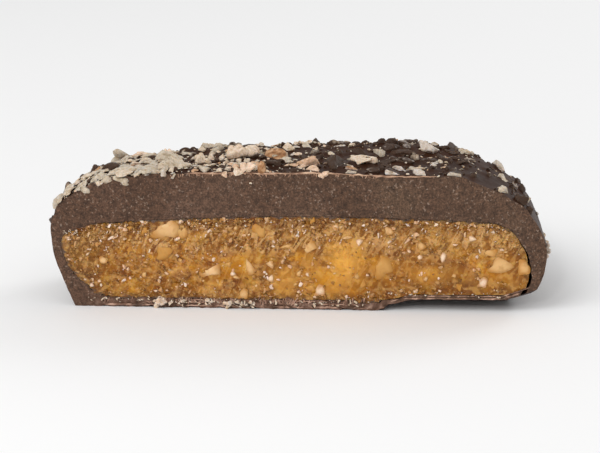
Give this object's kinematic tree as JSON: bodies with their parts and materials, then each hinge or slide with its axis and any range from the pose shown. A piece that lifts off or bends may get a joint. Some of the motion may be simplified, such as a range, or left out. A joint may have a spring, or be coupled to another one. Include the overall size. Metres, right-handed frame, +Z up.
{
  "type": "pecan toffee half",
  "caption": "Cut half of a chocolate-coated toffee bar topped with chopped pecans, lying flat with its toffee centre and thick coat showing at the cut.",
  "frame": {"origin": "centre of the bounding box seen from above, on the flat underside", "axes": "+X along the cut face and the bar's length, -Y out of the cut face, +Z up"},
  "size_m": [0.0615, 0.0244, 0.0187],
  "materials": {
    "chocolate": "satin dark chocolate, slightly grainy where it is cut",
    "toffee": "crumbly, faintly translucent amber toffee",
    "pecan": "dry chopped nut"
  },
  "bodies": {
    "root": {"chocolate_coating": "chocolate", "toffee_core": "toffee"}
  },
  "joints": []
}
